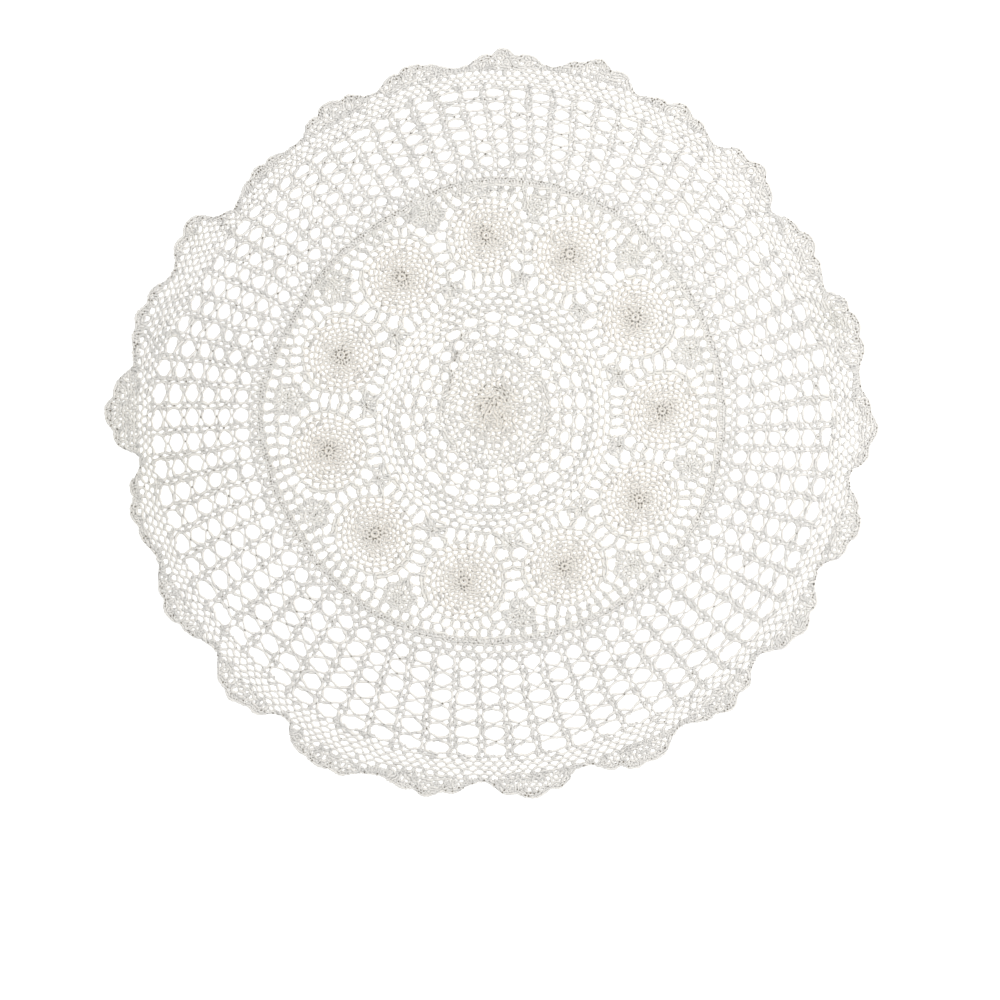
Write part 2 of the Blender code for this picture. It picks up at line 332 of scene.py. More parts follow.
def uneven(points):
    """The same drift for everything near a spot, so stitches that meet stay together.

    The open net drifts most. The tight work inside the firm ring holds its shape better.
    """
    open_work = np.clip((far(points) - CALM_RADIUS) / CALM_BLEND, 0, 1)[:, None]
    share = CALM_SHARE + (1 - CALM_SHARE) * open_work
    moved = points.copy()
    for wave, phase, push in WAVES:
        moved += np.sin(points @ wave + phase)[:, None] * push * share
    return moved


# The folds: points along each one, how high the lace stands there, and how far to either side
Fold = namedtuple("Fold", "line height reach")
CREASE = Fold(np.array([(-31.0, 76.0), (-35.0, 60.0), (-41.0, 44.0), (-44.0, 20.0)]), 2.6, 6.0)
PLEAT = Fold(np.array([(-268.0, 188.0), (-258.0, 187.0), (-246.0, 184.0)]), 3.4, 7.0)
FOLD_POINTEDNESS = 1.5
# The domed centre: it falls over the first share of its radius and ends at the second
DOME_RADIUS = 13.5
DOME_HEIGHT = 1.6
DOME_FALL = 0.6
DOME_END = 1.6


def off_line(points, line):
    """Distance of each point from a line of points."""
    best = np.full(len(points), np.inf)
    for start, end in zip(line, line[1:]):
        along = end - start
        share = np.clip((points - start) @ along / (along @ along), 0, 1)
        best = np.minimum(best, far(points - start - share[:, None] * along))
    return best


def relief(points):
    """How far the lace stands off the surface: a crease, a pleat and the domed centre."""
    height = np.zeros(len(points))
    for fold in (CREASE, PLEAT):
        share = np.clip(1 - off_line(points, fold.line) / fold.reach, 0, 1)
        height += fold.height * share**FOLD_POINTEDNESS
    out = far(points - ROSETTE_MIDDLE) / DOME_RADIUS
    dome = np.clip(DOME_END - out, 0, DOME_FALL) / DOME_FALL
    return height + DOME_HEIGHT * dome * dome * (3 - 2 * dome)


# ---- holes, and the thread between them

# Circles beyond the edge count as one hole, so no thread runs between them. Along a joined edge
# the piece has no thread of its own: it hangs on its neighbour's.
OUTSIDE = -1
JOINED = -2


class Lace:
    """One piece of lace, told by its holes. Thread runs wherever two holes lie side by side."""

    def __init__(self, name):
        self.name = name
        self.circles = []
        self.pins = []
        self.count = 0

    def holes(self, points, radius, jitter=JITTER):
        """Round holes, one at each point."""
        points = np.reshape(points, (-1, 2))
        points = points + rng.normal(0, jitter, points.shape)
        self.long_holes(points, np.zeros(len(points)), 2 * radius, 2 * radius, 1.0, 0.0)
        return points

    def long_holes(self, points, headings, length, width, tip=TIP, jitter=JITTER):
        """Long holes along their headings: a middle circle and a smaller one at each end."""
        points = np.reshape(points, (-1, 2))
        size = rng.normal(1.0, SIZE_JITTER, len(points)).clip(*SIZE_LIMITS)
        length = np.broadcast_to(length, len(points)) * size
        width = np.broadcast_to(width, len(points)) * size
        points = points + rng.normal(0, jitter, points.shape)
        ahead = polar(np.broadcast_to(headings, len(points)), 1.0)
        own = self.count + np.arange(len(points))
        self.count += len(points)
        self.circles.append(np.column_stack([points, width / 2, own]))
        end = width / 2 * tip
        reach = length / 2 - end
        longer = reach > LEAST_REACH
        for side in (-1, 1):
            ends = points + side * reach[:, None] * ahead
            self.circles.append(np.column_stack([ends, end, own])[longer])

    def edge(self, points, radius, kind=OUTSIDE):
        """Circles that stand beyond the piece, so that a thread runs or ends along its edge."""
        points = np.reshape(points, (-1, 2))
        radius = np.broadcast_to(radius, len(points))
        self.circles.append(np.column_stack([points, radius, np.full(len(points), kind)]))

    def pinholes(self, points, size):
        """Small dark gaps between stitches, each a little longer than wide, drawn as discs of painted
        shade.
        """
        points = np.reshape(points, (-1, 2))
        count = len(points)
        stretch = rng.uniform(*PINHOLE_STRETCH, count)
        turn = rng.uniform(0, math.pi, count)
        size = np.broadcast_to(size, count)
        height = np.full(count, PINHOLE_HEIGHT)
        self.pins.append(np.column_stack([points, size, stretch, turn, height]))

    def some_pinholes(self, points, share, sizes):
        """Pinholes at this share of the points, each of a size between the two given."""
        shown = rng.random(len(points)) < share
        self.pinholes(points[shown], rng.uniform(*sizes, shown.sum()))

    def slits(self, rows, width):
        """Long dark gaps between stitches, as a table gives them, drawn as discs of painted shade.
        Small holes near them close.
        """
        for row in rows:
            shape = (width / 2, row.length / width, math.radians(row.heading), SLIT_HEIGHT)
            self.pins.append(np.array([[row.x, row.y, *shape]]))
            for circles in self.circles:
                off = far(circles[:, :2] - (row.x, row.y))
                near = off < circles[:, 2] + row.length / 2
                small = near & (circles[:, 2] < SLIT_CLOSES)
                circles[small, 2] = np.minimum(circles[small, 2], CLOSED_RADIUS)

    def pins_on_thread(self):
        """The pinholes and slits without those that would hang in an open hole."""
        pins = np.concatenate(self.pins)
        circles = np.concatenate(self.circles)
        open_holes = circles[circles[:, 2] > OPEN_RADIUS]
        off = far(pins[:, None, :2] - open_holes[:, :2]) - open_holes[:, 2]
        return pins[off.min(axis=1) > PINHOLE_OVERHANG]

    def runs(self):
        """The points of the thread, with x, y and radius, and the pairs of points it runs between."""
        circles = np.concatenate(self.circles)
        spots, owner = circles[:, :2], circles[:, 3].astype(int)
        corners = triangles(spots)
        (start, stop), first, last = shared_sides(corners, owner)
        way = spots[stop] - spots[start]
        distance = far(way)
        radius = shrunk_apart(circles[:, 2], owner, start, stop, distance)
        gap = distance - radius[start] - radius[stop]
        middles = spots[start] + way * ((radius[start] + gap / 2) / distance)[:, None]
        joined = (owner[start] == JOINED) | (owner[stop] == JOINED)
        knots = knots_among(middles, joined, first, last, len(corners))
        near_knot = same_hole(owner)[corners].reshape(len(corners), -1)
        near_run = np.concatenate([near_knot[first], near_knot[last]], axis=1)
        knots = pushed_clear(knots, near_knot, spots, radius)
        middles = pushed_clear(middles, near_run, spots, radius)
        knot_radius = clearance(knots, near_knot, spots, radius).clip(THINNEST, KNOT)
        thread_radius = clearance(middles, near_run, spots, radius).clip(THINNEST, THICKEST)
        # Where only two runs meet the thread bends, and such runs need no point in their middle
        bends = np.bincount(np.concatenate([first, last]), minlength=len(corners)) == 2
        short = far(knots[first] - knots[last]) < SHORT_RUN
        passed = bends[first] | bends[last]
        double = (gap > DOUBLE_GAP) & (~short | passed) & ~joined
        single = ~joined & ~double & ~(short | passed)
        straight = ~joined & ~double & ~single
        points = [np.column_stack([knots, knot_radius])]
        points.append(np.column_stack([middles, thread_radius])[single])
        index = len(knots) + np.arange(single.sum())
        count = len(knots) + len(index)
        edges = [np.column_stack([first, last])[straight]]
        edges += [np.column_stack([first[single], index]), np.column_stack([index, last[single]])]
        # Doubled thread stays double through a bend: each half keeps to its own hole's side
        doubled = np.concatenate([first[double], last[double]])
        split = bends & (np.bincount(doubled, minlength=len(corners)) == 2)
        aside = way / (distance * np.where(owner[start] < owner[stop], -1, 1))[:, None]
        aside = aside * (gap / 4)[:, None]
        half = (gap / 4 - BETWEEN_HALVES).clip(THINNEST, THICKEST)
        turned, width = np.zeros((len(corners), 2)), np.zeros(len(corners))
        for knot in (first, last):
            np.add.at(turned, knot[double], aside[double] / 2)
            np.add.at(width, knot[double], half[double] / 2)
        for side in (-1, 1):
            place = np.arange(len(corners))
            place[split] = count + np.arange(split.sum())
            points.append(np.column_stack([knots + side * turned, width])[split])
            points.append(np.column_stack([middles + side * aside, half])[double])
            count += split.sum()
            index = count + np.arange(double.sum())
            count += len(index)
            edges.append(np.column_stack([place[first[double]], index]))
            edges.append(np.column_stack([index, place[last[double]]]))
        return run_through(np.concatenate(points), np.concatenate(edges), len(knots))


def shared_sides(corners, owner):
    """The sides that part two triangles and lie between two holes.

    Gives the two circles at the ends of each side, and the triangle to either side of it.
    """
    sides = np.sort(corners[:, [[0, 1], [1, 2], [2, 0]]].reshape(-1, 2), axis=1)
    order = np.lexsort(sides.T)
    ranked = sides[order]
    twins = np.flatnonzero((ranked[1:] == ranked[:-1]).all(axis=1))
    one, other = order[twins], order[twins + 1]
    between = owner[sides[one, 0]] != owner[sides[one, 1]]
    one, other = one[between], other[between]
    return sides[one].T, one // 3, other // 3


def shrunk_apart(radius, owner, start, stop, distance):
    """Makes holes smaller where they lie too near each other."""
    free = (owner >= 0).astype(float)
    both = free[start] + free[stop]
    for _ in range(3):
        want = LEAST_GAP - (distance - radius[start] - radius[stop])
        cut = np.maximum(want, 0) / np.maximum(both, 1)
        less = np.zeros(len(radius))
        np.maximum.at(less, start, cut * free[start])
        np.maximum.at(less, stop, cut * free[stop])
        radius = np.maximum(radius - less, LEAST_RADIUS)
    return radius


# Beside a joined edge the other gaps hardly count, and a knot without any gap still has a weight
FREE_WEIGHT = 0.001
NO_WEIGHT = 1e-9


def knots_among(middles, joined, first, last, count):
    """A knot for each triangle, in the middle of the gaps that meet there or on the joined edge."""
    weight = np.where(joined, 1.0, FREE_WEIGHT)
    total = np.zeros((count, 2))
    share = np.full(count, NO_WEIGHT)
    for triangle in (first, last):
        np.add.at(total, triangle, middles * weight[:, None])
        np.add.at(share, triangle, weight)
    return total / share[:, None]


def run_through(points, edges, knots):
    """Lets the two threads that meet most nearly in line run on through a knot.

    The others end there, a little thinner, each at a point of its own.
    """
    ends = edges.ravel().copy()
    others = edges[:, ::-1].ravel()
    order = np.argsort(ends, kind="stable")
    order = order[ends[order] < knots]
    knot = ends[order]
    place = np.arange(len(order)) - np.searchsorted(knot, knot)
    meeting = place.max() + 1
    way = points[others[order], :2] - points[knot, :2]
    way /= far(way)[:, None]
    ways = np.zeros((knots, meeting, 2))
    ways[knot, place] = way
    taken = np.zeros((knots, meeting), bool)
    taken[knot, place] = True
    bend = np.einsum("kix,kjx->kij", ways, ways)
    bend[~(taken[:, :, None] & taken[:, None, :])] = np.inf
    pair = bend.reshape(knots, -1).argmin(axis=1)
    ending = (place != (pair // meeting)[knot]) & (place != (pair % meeting)[knot])
    own = order[ending]
    copies = points[ends[own]] * (1, 1, END_TAPER)
    room = far(points[others[own], :2] - copies[:, :2])
    copies[:, :2] += way[ending] * np.minimum(END_SHORT * copies[:, 2], room / 3)[:, None]
    ends[own] = len(points) + np.arange(len(own))
    return np.concatenate([points, copies]), ends.reshape(-1, 2)


def triangles(spots):
    """Joins every point with its neighbours."""
    points = [Vector(spot) for spot in spots]
    _, _, faces, origin, _, _ = delaunay_2d_cdt(points, [], [], 0, 1e-5)
    first = np.array([sources[0] for sources in origin])
    return first[np.array(faces)]


def same_hole(owner):
    """For each circle the up to three circles that make up its hole."""
    mates = np.tile(np.arange(len(owner))[:, None], (1, 3))
    order = np.argsort(owner, kind="stable")
    ranked = owner[order]
    for step in (1, 2):
        same = (ranked[step:] == ranked[:-step]) & (ranked[step:] >= 0)
        mates[order[:-step][same], step] = order[step:][same]
        mates[order[step:][same], 3 - step] = order[:-step][same]
    return mates


def clearance(points, near, spots, radius):
    """How far each point is from the nearest hole of those near it."""
    off = far(points[:, None] - spots[near]) - radius[near]
    return off.min(axis=1)


# Points leave a hole in a few steps, each most of the way
CLEARING_STEPS = 4
CLEARING_SHARE = 0.8


def pushed_clear(points, near, spots, radius):
    """Moves points out of the holes near them, until the thread has room if it can have."""
    for _ in range(CLEARING_STEPS):
        away = points[:, None] - spots[near]
        distance = far(away)
        short = np.clip(radius[near] + THINNEST - distance, 0, None)
        most = short.argmax(axis=1)[:, None]
        push = np.take_along_axis(short, most, axis=1) / np.take_along_axis(distance, most, axis=1)
        furthest = np.take_along_axis(away, most[..., None], axis=1)[:, 0]
        points = points + furthest * push * CLEARING_SHARE
    return points


# ---- the pieces


def every(count, shift=0.0, whole=FULL_TURN):
    """Evenly spaced turns or columns, moved on by this share of the spacing."""
    return whole * (np.arange(count) + shift) / count


# Rounds of small holes: how many, how far out, and the radius of each hole
Rounds = namedtuple("Rounds", "count distance radius")
BUTTON_ROUNDS = (
    Rounds(6, 3.8, 0.4),
    Rounds(11, 7.6, 0.4),
    Rounds(16, 11.2, 0.45),
)
FINE_ROUNDS = (
    Rounds(20, 15.2, 0.8),
    Rounds(24, 19.6, 1.0),
    Rounds(28, 24.0, 1.2),
    Rounds(34, 29.0, 1.2),
    Rounds(26, 35.6, 2.4),
    Rounds(44, 41.8, 1.45),
    Rounds(50, 46.9, 1.6),
    Rounds(54, 52.2, 1.6),
)
# The large holes of the medallion, 26 to a round: how far out, and their size outward and across
LargeRound = namedtuple("LargeRound", "distance out across")
LARGE_ROUNDS = (
    LargeRound(62, 8.4, 8.8),
    LargeRound(75, 9.6, 11.6),
    LargeRound(88.4, 9.8, 14.4),
)
MEDALLION_COLUMNS = 26
# The even mesh at its edge, 68 to a round
EDGE_ROUNDS = (
    LargeRound(97.0, 3.5, 5.0),
    LargeRound(103.3, 4.1, 6.4),
    LargeRound(109.6, 4.3, 6.9),
    LargeRound(115.5, 4.2, 7.1),
)
EDGE_COLUMNS = 68
MEDALLION_EDGE = Rounds(EDGE_COLUMNS, MEDALLION_RADIUS + 4.2, 2.0)
EDGE_TIP = 0.8
# Two small holes in each band between the columns, this far to either side of the row
BAND_HOLE = 1.5
BAND_HOLE_OFF = 3.1
# Two holes on the inner side of each large one, as far aside as this share of its width
CORNER_HOLE = 1.4
CORNER_BEFORE = 6.9
CORNER_ASIDE = 0.3

# Narrow dark gaps between stitches, as painted shade. The ones along a fold are scattered about its
# line and are the fold's painted shadow.
SLIT_WIDTH = 1.2
FOLD_SLIT_WIDTH = 0.95
FOLD_SLIT_LENGTHS = (1.6, 4.2)
FOLD_SLIT_ASIDE = 0.7
FOLD_SLIT_TURN = 22.0
FOLD_SLIT_PLACES = (0.2, 0.8)
CREASE_SLITS = 22
PLEAT_SLITS = 7
Slit = namedtuple("Slit", "x y length heading")
# Those in the domed button and along its left side, where they are the dome's painted shade
BUTTON_SLITS = [
    Slit(*row)
    for row in (
        (1.6, 25.1, 3.5, -20), (3.6, 21.7, 4.2, -20), (7.1, 24.0, 3.6, -50),
        (9.1, 26.6, 3.0, -40), (11.9, 21.7, 3.0, -45), (11.1, 18.0, 4.6, -50),
        (15.7, 17.7, 2.8, 90), (14.0, 11.7, 3.0, -70), (2.8, 13.1, 2.4, 90),
        (6.2, 13.7, 2.2, 80), (-0.4, 11.1, 2.4, -50), (-0.7, 7.9, 2.0, -40),
        (3.6, 7.9, 3.8, 80), (-5.9, 9.4, 3.4, 5), (-3.6, 14.8, 3.4, -50),
        (7.3, 3.6, 1.6, 0), (9.1, -5.3, 3.0, 50), (11.7, -8.7, 2.6, 5),
        (-12.7, 5.3, 6.0, 85), (-9.6, -3.8, 5.4, 85), (-13.6, 18.8, 2.2, 60),
        (-8.1, 26.9, 4.4, 45), (-11.9, 22.6, 3.6, 60), (-8.4, 14.5, 2.0, 0),
        (-4.1, 0.2, 2.6, 80),
    )
]


def lengths_along(line):
    """How far along a line of points each of them is."""
    return np.concatenate([[0], np.cumsum(far(np.diff(line, axis=0)))])


def slits_along(line, count):
    """Slits scattered along a line of points."""
    lengths = lengths_along(line)

    def spot_at(length):
        return np.array([np.interp(length, lengths, column) for column in line.T])

    rows = []
    for length in (np.arange(count) + rng.uniform(*FOLD_SLIT_PLACES, count)) / count * lengths[-1]:
        ahead = spot_at(length + 1) - spot_at(length - 1)
        x, y = spot_at(length) + rng.normal(0, FOLD_SLIT_ASIDE, 2)
        heading = math.degrees(math.atan2(ahead[1], ahead[0])) + rng.normal(0, FOLD_SLIT_TURN)
        rows.append(Slit(x, y, rng.uniform(*FOLD_SLIT_LENGTHS), heading))
    return rows


def make_medallion():
    lace = Lace("medallion_lace")
    place = in_medallion
    lace.holes(place(0.0, 0.0), 0.3)
    for rows, jitter in ((BUTTON_ROUNDS, JITTER), (FINE_ROUNDS, FINE_JITTER)):
        for index, row in enumerate(rows):
            lace.holes(place(row.distance, every(row.count, index % 2 / 2)), row.radius, jitter)
    bands = every(MEDALLION_COLUMNS)
    turns = every(MEDALLION_COLUMNS, 0.5)
    for row in LARGE_ROUNDS:
        lace.long_holes(place(row.distance, turns), turns + 90, row.across, row.out)
        half = math.degrees(row.across * CORNER_ASIDE / row.distance)
        for side in (-1, 1):
            lace.holes(place(row.distance + side * BAND_HOLE_OFF, bands), BAND_HOLE)
        for side in (-1, 1):
            lace.holes(place(row.distance - CORNER_BEFORE, turns + side * half), CORNER_HOLE)
    for index, row in enumerate(EDGE_ROUNDS):
        turns = every(EDGE_COLUMNS, index % 2 / 2)
        spots = place(row.distance, turns)
        lace.long_holes(spots, turns + 90, row.across, row.out, EDGE_TIP, EVEN_JITTER)
    edge = MEDALLION_EDGE
    lace.edge(place(edge.distance, every(edge.count)), edge.radius, JOINED)
    lace.slits(BUTTON_SLITS, SLIT_WIDTH)
    lace.slits(slits_along(CREASE.line, CREASE_SLITS), FOLD_SLIT_WIDTH)
    return lace


WHEEL_ROUNDS = (
    Rounds(10, 5.3, 0.7),
    Rounds(16, 9.4, 0.5),
    Rounds(20, 13.0, 0.7),
    Rounds(22, 16.8, 1.1),
    Rounds(24, 20.8, 1.3),
    Rounds(25, 25.1, 1.5),
    Rounds(26, 29.9, 1.7),
    Rounds(28, 34.8, 1.6),
)
WHEEL_EDGE = Rounds(32, 41.2, 2.0)
# From this far out a wheel's holes are long ones, this many times their radius from end to end
WHEEL_OPENS = 25.0
WHEEL_HOLE_ACROSS = 2.7
# Dark gaps between close stitches, drawn as painted shade: sizes from and to, and the plain one
CLOSE_PINS = (0.5, 0.85)
NET_PINS = (0.45, 0.8)
RING_PINS = (0.35, 0.7)
PLAIN_PIN = 0.6
HUB_PIN = 1.05
SECOND_ROUND_SHARE = 0.35
EDGE_PINS = 9
EDGE_PINS_FROM = 33.0
EDGE_PINS_TO = 37.5


def make_wheel(index, wheel):
    lace = Lace(f"wheel_lace_{index:02d}")
    place = around_a_middle(polar(wheel.angle, wheel.distance))
    turn = rng.uniform(0, 1)
    lace.holes(place(0.0, 0.0), 0.5)
    for number, row in enumerate(WHEEL_ROUNDS):
        turns = every(row.count, turn + number % 2 / 2)
        spots = place(row.distance, turns)
        if row.distance < WHEEL_OPENS:
            spots = lace.holes(spots, row.radius)
        else:
            across = row.radius * WHEEL_HOLE_ACROSS
            lace.long_holes(spots, turns + 90, across, row.radius * 2)
        if number == 0:
            lace.pinholes(spots, rng.uniform(*CLOSE_PINS, len(spots)))
        if number == 1:
            lace.pinholes(spots[rng.random(len(spots)) < SECOND_ROUND_SHARE], PLAIN_PIN)
    lace.pinholes(place(0.0, 0.0), HUB_PIN)
    distances = rng.uniform(EDGE_PINS_FROM, EDGE_PINS_TO, EDGE_PINS)
    lace.pinholes(place(distances, rng.uniform(0, FULL_TURN, EDGE_PINS)), PLAIN_PIN)
    lace.edge(place(WHEEL_EDGE.distance, every(WHEEL_EDGE.count)), WHEEL_EDGE.radius, JOINED)
    return lace


# The cells in the corner between two wheels, measured outward from the doily's middle and to the
# side of the line half way between the wheels. Heading is that of the cell's length from outward.
BayCell = namedtuple("BayCell", "distance side length width heading")
BAY_CELLS = (
    BayCell(141.0, 9.4, 12.5, 10.5, 70),
    BayCell(151.6, 5.2, 9.0, 6.4, 80),
    BayCell(162.2, 0.0, 13.5, 8.4, 90),
    BayCell(173.0, 0.0, 14.0, 8.4, 90),
    BayCell(183.4, 6.9, 10.5, 8.2, 70),
    BayCell(192.8, 12.6, 12.0, 8.2, 50),
    BayCell(201.2, 21.2, 12.0, 8.0, 36),
    BayCell(212.0, 18.6, 9.4, 7.6, 10),
)
# The other cells round a wheel: degrees from outward, how far out, and how long
WheelCell = namedtuple("WheelCell", "turn distance length")
WHEEL_CELLS = (
    WheelCell(0.0, 44.2, 8.6),
    WheelCell(13.3, 44.6, 9.2),
    WheelCell(26.4, 45.4, 10.6),
    WheelCell(39.0, 46.0, 12.0),
)
WHEEL_CELL_WIDTH = 8.0
PETALS = (-19.4, -9.7, 0.0, 9.7, 19.4)
PETAL_WIDTH = 7.2
PETAL_TIP = 0.6
PETAL_TOP = 39.4
PETAL_FOOT = 0.9
PETAL_ENDS = 1.2
# Circles under the wheel, where the joining mesh ends
WHEEL_SEAT = Rounds(28, 35.4, 2.0)
SEAT_JITTER = 0.3
# The cells along the firm ring, and the circles past the mesh's inner and outer edge
OUTER_CELLS = 121
OUTER_CELL_INSIDE = 5.0
OUTER_CELL_LENGTH = 8.6
OUTER_CELL_WIDTH = 8.2
INNER_EDGE = Rounds(100, -3.0, 2.2)
OUTER_EDGE = Rounds(130, 3.4, 2.8)
# The small dense rosettes in the corners between the wheels: how far out, how much they follow
# the wheels' own distances, how large, and their rounds of holes
Filler = namedtuple("Filler", "distance follows size rounds")
FILLERS = (
    Filler(131.5, 1.0, 4.0, (Rounds(6, 3.0, 0.5),)),
    Filler(206.5, 0.6, 10.2, (Rounds(6, 3.0, 0.5), Rounds(11, 6.6, 1.15), Rounds(14, 10.2, 1.3))),
)
FILLER_PINS = 3
FILLER_PINS_WITHIN = (0.1, 0.8)


def filler_rosette(lace, middle, filler):
    place = around_a_middle(middle)
    lace.holes(place(0.0, 0.0), 0.35)
    for row in filler.rounds:
        lace.holes(place(row.distance, every(row.count, rng.uniform(0, 1))), row.radius)
    distances = filler.size * rng.uniform(*FILLER_PINS_WITHIN, FILLER_PINS)
    lace.pinholes(place(distances, rng.uniform(0, FULL_TURN, FILLER_PINS)), PLAIN_PIN)


def bay(lace, wheel, following):
    """The cells and the rosettes in the corner between two wheels."""
    half = (following.angle - wheel.angle) % FULL_TURN / 2
    way = wheel.angle + half
    spread = half / (FULL_TURN / len(WHEELS) / 2)
    common = sum(row.distance for row in WHEELS) / len(WHEELS)
    shift = (wheel.distance + following.distance) / 2 - common
    outward, aside = polar(way, 1.0), polar(way + 90, 1.0)
    for row in BAY_CELLS:
        for side in (-1, 1) if row.side else (1,):
            spot = outward * (row.distance + shift) + aside * side * row.side * spread
            lace.long_holes(spot, way + side * row.heading, row.length, row.width)
    for filler in FILLERS:
        filler_rosette(lace, outward * (filler.distance + shift * filler.follows), filler)


def joined_wheel(lace, wheel):
    """The petals towards the medallion, and the cells on the wheel's outer side."""
    middle = polar(wheel.angle, wheel.distance)
    for aside in PETALS:
        foot_angle = wheel.angle + math.degrees(aside / medallion_rim(wheel.angle))
        foot = polar(foot_angle, medallion_rim(foot_angle) + PETAL_FOOT)
        top_angle = wheel.angle + HALF_TURN - math.degrees(math.asin(aside / PETAL_TOP))
        way = middle + polar(top_angle, PETAL_TOP) - foot
        heading = math.degrees(math.atan2(way[1], way[0]))
        length = far(way) - PETAL_ENDS
        lace.long_holes(foot + way / 2, heading, length, PETAL_WIDTH, PETAL_TIP)
    for row in WHEEL_CELLS:
        for side in (-1, 1) if row.turn else (1,):
            turn = wheel.angle + side * row.turn
            lace.long_holes(middle + polar(turn, row.distance), turn, row.length, WHEEL_CELL_WIDTH)
    distances = WHEEL_SEAT.distance + rng.normal(0, SEAT_JITTER, WHEEL_SEAT.count)
    lace.edge(middle + polar(every(WHEEL_SEAT.count), distances), WHEEL_SEAT.radius)


def ring_inside(angle):
    return around(ROUNDS, angle, "ring") - RING_HALF


def make_joining_mesh():
    lace = Lace("joining_lace")
    for index, wheel in enumerate(WHEELS):
        joined_wheel(lace, wheel)
        bay(lace, wheel, WHEELS[(index + 1) % len(WHEELS)])
    turns = every(OUTER_CELLS)
    spots = polar(turns, ring_inside(turns) - OUTER_CELL_INSIDE)
    lace.long_holes(spots, turns, OUTER_CELL_LENGTH, OUTER_CELL_WIDTH)
    for edge, distance in ((INNER_EDGE, medallion_rim), (OUTER_EDGE, ring_inside)):
        turns = every(edge.count)
        lace.edge(polar(turns, distance(turns) + edge.distance), edge.radius)
    return lace


# The firm ring: two rounds of pinholes, and the circles past its inner side
RING_ROWS = (-1.3, 1.3)
RING_HOLES = 420
RING_HOLE = 0.4
RING_EDGE = Rounds(190, -7.6, 2.5)
# How many knots show a dark gap: the mean share, how much it sways, and the angle of the fewest.
# The dark gaps are painted shade, more of them on the left, away from the lamp.
Shade = namedtuple("Shade", "mean sway fewest")
RING_SHADE = Shade(0.42, 0.2, -20.0)
NET_SHADE = Shade(0.23, 0.18, -10.0)
# Two rounds of cells lead into the net: how far up, and how large, as shares of the room there
Part = namedtuple("Part", "share radius shift")
LEAD_IN = (Part(0.26, 0.215, 0.0), Part(0.73, 0.15, 0.5))
LEAD_IN_START = 3.0
# The bands of the net are narrowest at the lower left and broadest opposite, at this angle
BROAD_SIDE = 45.0
BAND_WIDTH = (6.2, 7.5)
ROW_APART = (3.1, 4.2)
NET_TIP = 0.66
# A band is broad where the cosine from the broad side is more than this. It then has three round
# holes to a row, and elsewhere two long ones. Places are shares of a row.
BROAD_FROM = -0.25
BROAD_PLACES = (-0.33, 0.0, 0.33)
BROAD_HOLE = 1.2
NARROW_PLACES = (-0.25, 0.25)
NARROW_HOLE = (4.4, 2.8)
# The two holes between rounds: how far aside as a share of a column, and their radius, where the
# band is broad and elsewhere
BETWEEN_ASIDE = (0.235, 0.265)
BETWEEN_HOLE = (1.7, 2.0)
# The cells from the net up to the line of the notches
EDGING_STEP = 4.5
EDGING_ROUNDS = 9
EDGING_CELLS = 3
EDGING_CELL = (5.6, 4.1)
EDGING_BELOW_RIM = 1.4
EDGING_PINS = 0.3
# The close work of the scallops, within these degrees of their middle
FAN_BELOW_NOTCH = 1.0
FAN_START = 1.2
FAN_STEP = 3.8
FAN_ROUNDS = 9
FAN_CELLS = 5
FAN_HALF = 5.6
FAN_BELOW_RIM = 0.8
FAN_HOLE = 1.25
FAN_PINS = 0.2
# The firm rim: rounds of holes at shares of its width, the first only where it is wide
RIM_ROWS = (Part(0.2, 0.6, 0.0), Part(0.68, 0.45, 0.5))
RIM_WIDE = 5.0
RIM_SPACING = 3.6
RIM_STEPS = 8000
RIM_PINS = 0.35
RIM_CIRCLE = 1.9


def column_width(row, column):
    """The width of a column of the net in millimetres."""
    ahead = column_angle(column + 0.5) - column_angle(column - 0.5)
    return np.radians(ahead) * net_distance(row, column_angle(column))


def toward_broad_side(widths, angle):
    """A width between the two given, the greater at the broad side."""
    share = 0.5 + 0.5 * np.cos(np.radians(angle - BROAD_SIDE))
    return widths[0] + (widths[1] - widths[0]) * share


def fan_floor(angle):
    """Where the close work of the scallops begins, just inside the line through the notches."""
    return around(SCALLOPS, angle, "notch") - FAN_BELOW_NOTCH


def shaded(shade, angle):
    """How many of the knots show a dark gap: few at the right, most at the left, as painted shade
    on the side away from the lamp.
    """
    return shade.mean - shade.sway * np.cos(np.radians(angle - shade.fewest))


def firm_ring(lace):
    for index, offset in enumerate(RING_ROWS):
        columns = every(RING_HOLES, index / 2, NET_COLUMNS)
        spots = lace.holes(in_ring(offset, columns), RING_HOLE, FIRM_JITTER)
        angle = np.degrees(np.arctan2(spots[:, 1], spots[:, 0]))
        lace.some_pinholes(spots, shaded(RING_SHADE, angle), RING_PINS)
    columns = every(RING_EDGE.count, 0, NET_COLUMNS)
    lace.edge(in_ring(RING_EDGE.distance, columns), RING_EDGE.radius, JOINED)


def lead_into_net(lace):
    for row in LEAD_IN:
        angle = column_angle(every(2 * NET_COLUMNS, row.shift, NET_COLUMNS))
        start = around(ROUNDS, angle, "ring") + LEAD_IN_START
        room = net_distance(0, angle) - row_step(angle) / 2 + ROW_APART[0] / 2 - start
        lace.holes(polar(angle, start + row.share * room), row.radius * room)


